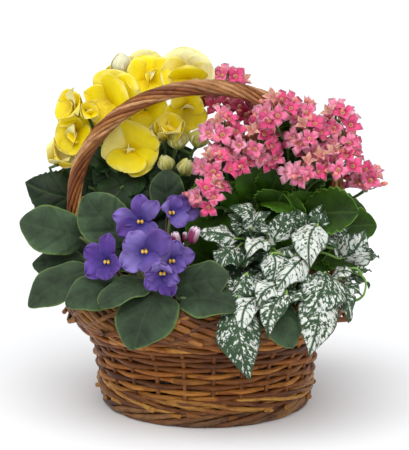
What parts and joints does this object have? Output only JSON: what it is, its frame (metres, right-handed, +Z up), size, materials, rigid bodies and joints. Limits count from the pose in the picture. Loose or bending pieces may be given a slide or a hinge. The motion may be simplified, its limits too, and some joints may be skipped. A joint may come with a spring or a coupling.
{
  "type": "flower basket arrangement",
  "caption": "Round woven willow basket with a twisted bow handle, planted with yellow begonia, pink kalanchoe, blue African violet and speckled polka-dot plant.",
  "frame": {"origin": "centre of the basket's flat underside, on the surface it stands on", "axes": "+Z up, -Y towards the front that shows the speckled foliage and the violet, +X to the right seen from the front; the handle's plane is XZ"},
  "size_m": [0.358, 0.3194, 0.3523],
  "materials": {
    "willow": "satin varnished willow rods",
    "dark_willow": "satin varnished willow rods, darker",
    "liner_film": "black film",
    "pot_plastic": "matt brown nursery pot",
    "peat": "moist crumbly potting soil",
    "violet_petal": "soft matt petals",
    "violet_bud": "soft matt buds",
    "violet_leaf": "downy matt leaves",
    "begonia_petal": "soft waxy petals",
    "begonia_leaf": "satin leaves",
    "kalanchoe_floret": "soft matt petals",
    "kalanchoe_leaf": "glossy fleshy leaves",
    "polkadot_leaf": "soft leaves, white patches in a dark green net"
  },
  "bodies": {
    "root": {"basket_base": "dark_willow", "basket_wall": "willow", "foot_border": "dark_willow", "rim_border": "willow", "liner": "liner_film", "pot_begonia": "pot_plastic", "pot_kalanchoe": "pot_plastic", "pot_violet": "pot_plastic", "pot_polkadot": "pot_plastic", "handle": "willow", "violet_bloom_1": "violet_petal", "violet_bloom_2": "violet_petal", "violet_bloom_3": "violet_petal", "violet_bloom_4": "violet_petal", "violet_bloom_5": "violet_petal", "violet_bloom_6": "violet_petal", "violet_buds": "violet_bud", "begonia_bloom_front": "begonia_petal", "begonia_bloom_upper_left": "begonia_petal", "begonia_bloom_top": "begonia_petal", "begonia_bloom_top_right": "begonia_petal", "begonia_bloom_far_left": "begonia_petal", "begonia_bloom_left": "begonia_petal", "begonia_bloom_low_left": "begonia_petal", "begonia_bloom_middle": "begonia_petal", "begonia_bloom_right": "begonia_petal", "begonia_bloom_behind_top": "begonia_petal", "begonia_bloom_back_left": "begonia_petal", "begonia_bloom_back_middle": "begonia_petal", "begonia_bloom_back_top": "begonia_petal", "begonia_buds_low": "begonia_petal", "begonia_buds_high": "begonia_petal", "begonia_buds_crown": "begonia_petal", "kalanchoe_head_behind_arch": "kalanchoe_floret", "kalanchoe_head_top": "kalanchoe_floret", "kalanchoe_head_centre": "kalanchoe_floret", "kalanchoe_head_low_centre": "kalanchoe_floret", "kalanchoe_head_upper_right": "kalanchoe_floret", "kalanchoe_head_far_right": "kalanchoe_floret", "kalanchoe_head_right": "kalanchoe_floret", "kalanchoe_head_low_right": "kalanchoe_floret", "kalanchoe_head_left": "kalanchoe_floret", "kalanchoe_head_low_left": "kalanchoe_floret", "kalanchoe_head_sprig": "kalanchoe_floret", "kalanchoe_head_back": "kalanchoe_floret", "polkadot_stem_upper_left": "polkadot_leaf", "polkadot_stem_upper_middle": "polkadot_leaf", "polkadot_stem_upper_right": "polkadot_leaf", "polkadot_stem_middle": "polkadot_leaf", "polkadot_stem_right": "polkadot_leaf", "polkadot_stem_front_left": "polkadot_leaf", "polkadot_stem_front_middle": "polkadot_leaf", "polkadot_stem_front_right": "polkadot_leaf", "violet_plant": "violet_leaf", "kalanchoe_plant": "kalanchoe_leaf", "begonia_plant": "begonia_leaf", "soil_begonia": "peat", "soil_kalanchoe": "peat", "soil_violet": "peat", "soil_polkadot": "peat"}
  },
  "joints": []
}
